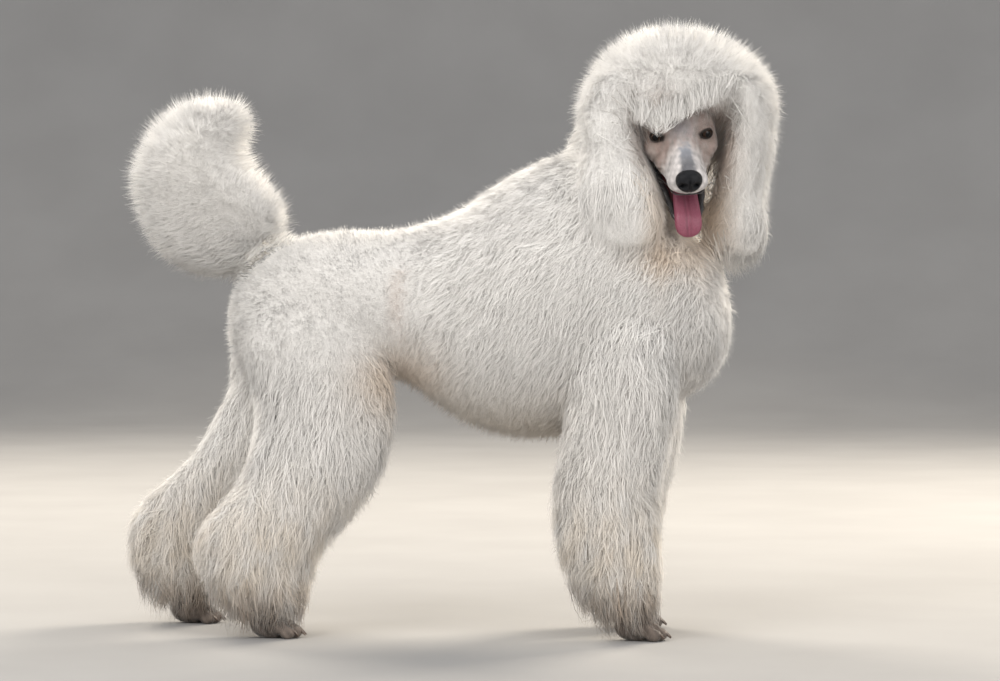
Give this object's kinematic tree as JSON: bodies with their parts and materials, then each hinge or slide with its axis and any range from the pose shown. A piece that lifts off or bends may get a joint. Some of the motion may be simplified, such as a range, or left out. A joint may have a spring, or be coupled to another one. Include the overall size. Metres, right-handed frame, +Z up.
{
  "type": "standard poodle",
  "caption": "Life-size standing standard poodle with a white clipped coat, round topknot, long hanging ears, plumed tail, and head turned to its right with an open mouth",
  "frame": {"origin": "bottom centre of the bounding box, on the floor the paws stand on", "axes": "+X the way the body faces, +Y the dog's left side, +Z up"},
  "size_m": [0.954, 0.3154, 0.8685],
  "materials": {
    "coat": "dense curly white hair, brushed out and scissored",
    "skin": "closely shaved skin with short pale fur",
    "nose": "moist fine-grained nose leather",
    "eye": "wet and very dark brown",
    "tongue": "moist, with a groove along the middle",
    "paw": "shaved toes with short pale fur and dark claws"
  },
  "bodies": {
    "root": {"torso": "coat", "neck": "coat", "topknot": "coat", "tail": "coat", "ear_right": "coat", "ear_left": "coat", "foreleg_right": "coat", "foreleg_left": "coat", "hindleg_right": "coat", "hindleg_left": "coat", "forepaw_right": "paw", "forepaw_left": "paw", "hindpaw_right": "paw", "hindpaw_left": "paw", "head": "skin", "lower_jaw": "skin", "nose": "nose", "eye_right": "eye", "eye_left": "eye", "tongue": "tongue"}
  },
  "joints": []
}
